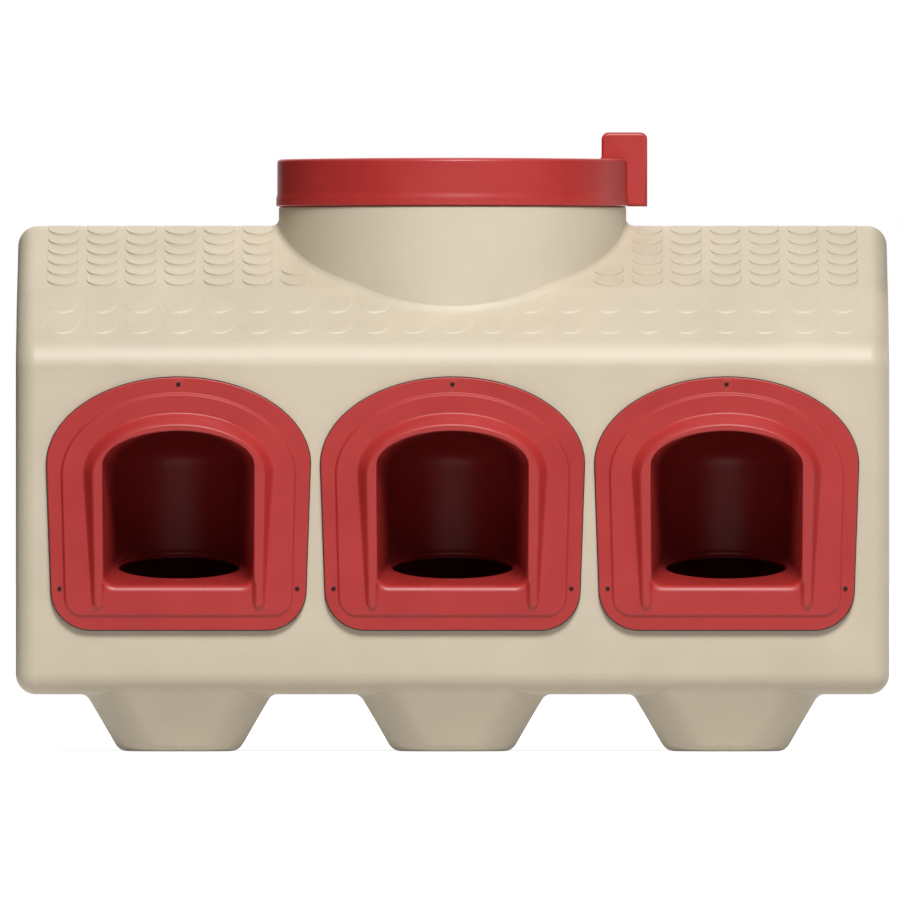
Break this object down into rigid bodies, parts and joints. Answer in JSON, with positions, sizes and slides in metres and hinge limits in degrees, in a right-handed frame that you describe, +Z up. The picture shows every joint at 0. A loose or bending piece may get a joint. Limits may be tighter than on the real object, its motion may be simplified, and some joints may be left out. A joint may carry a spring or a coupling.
{
  "type": "poultry feeder",
  "caption": "Barn-shaped moulded poultry feeder: hollow tank on tapered wells, round filler neck with a lift-off lid, and arched head ports with rain hoods and drop tubes in the front wall.",
  "frame": {"origin": "on the ground, at the centre of the middle foot's underside, under the middle of the tank", "axes": "+X along the tank's length, to the right as seen from the front; -Y towards the ports (front); +Z up"},
  "size_m": [0.61, 0.3355, 0.4338],
  "materials": {
    "tank_polyethylene": "satin rotomoulded skin, tan",
    "red_polypropylene": "satin injection moulded, red",
    "rubber": "matt black",
    "screw_steel": "black"
  },
  "bodies": {
    "tank": {"tank": "tank_polyethylene", "port_left": "red_polypropylene", "port_centre": "red_polypropylene", "port_right": "red_polypropylene", "port_gasket_left": "rubber", "port_gasket_centre": "rubber", "port_gasket_right": "rubber", "port_screw_left_top": "screw_steel", "port_screw_left_low_left": "screw_steel", "port_screw_left_low_right": "screw_steel", "port_screw_centre_top": "screw_steel", "port_screw_centre_low_left": "screw_steel", "port_screw_centre_low_right": "screw_steel", "port_screw_right_top": "screw_steel", "port_screw_right_low_left": "screw_steel", "port_screw_right_low_right": "screw_steel"},
    "lid_seal": {"lid_seal": "rubber"},
    "lid": {"lid": "red_polypropylene"}
  },
  "joints": [
    {"name": "lid_lift", "type": "slide", "parent": "tank", "child": "lid_seal", "axis": [0, 0, 1], "range_m": [0, 0.12]},
    {"name": "lid_turn", "type": "hinge", "parent": "lid_seal", "child": "lid", "pos_m": [0, 0, 0.3818], "axis": [0, 0, 1], "continuous": true}
  ]
}
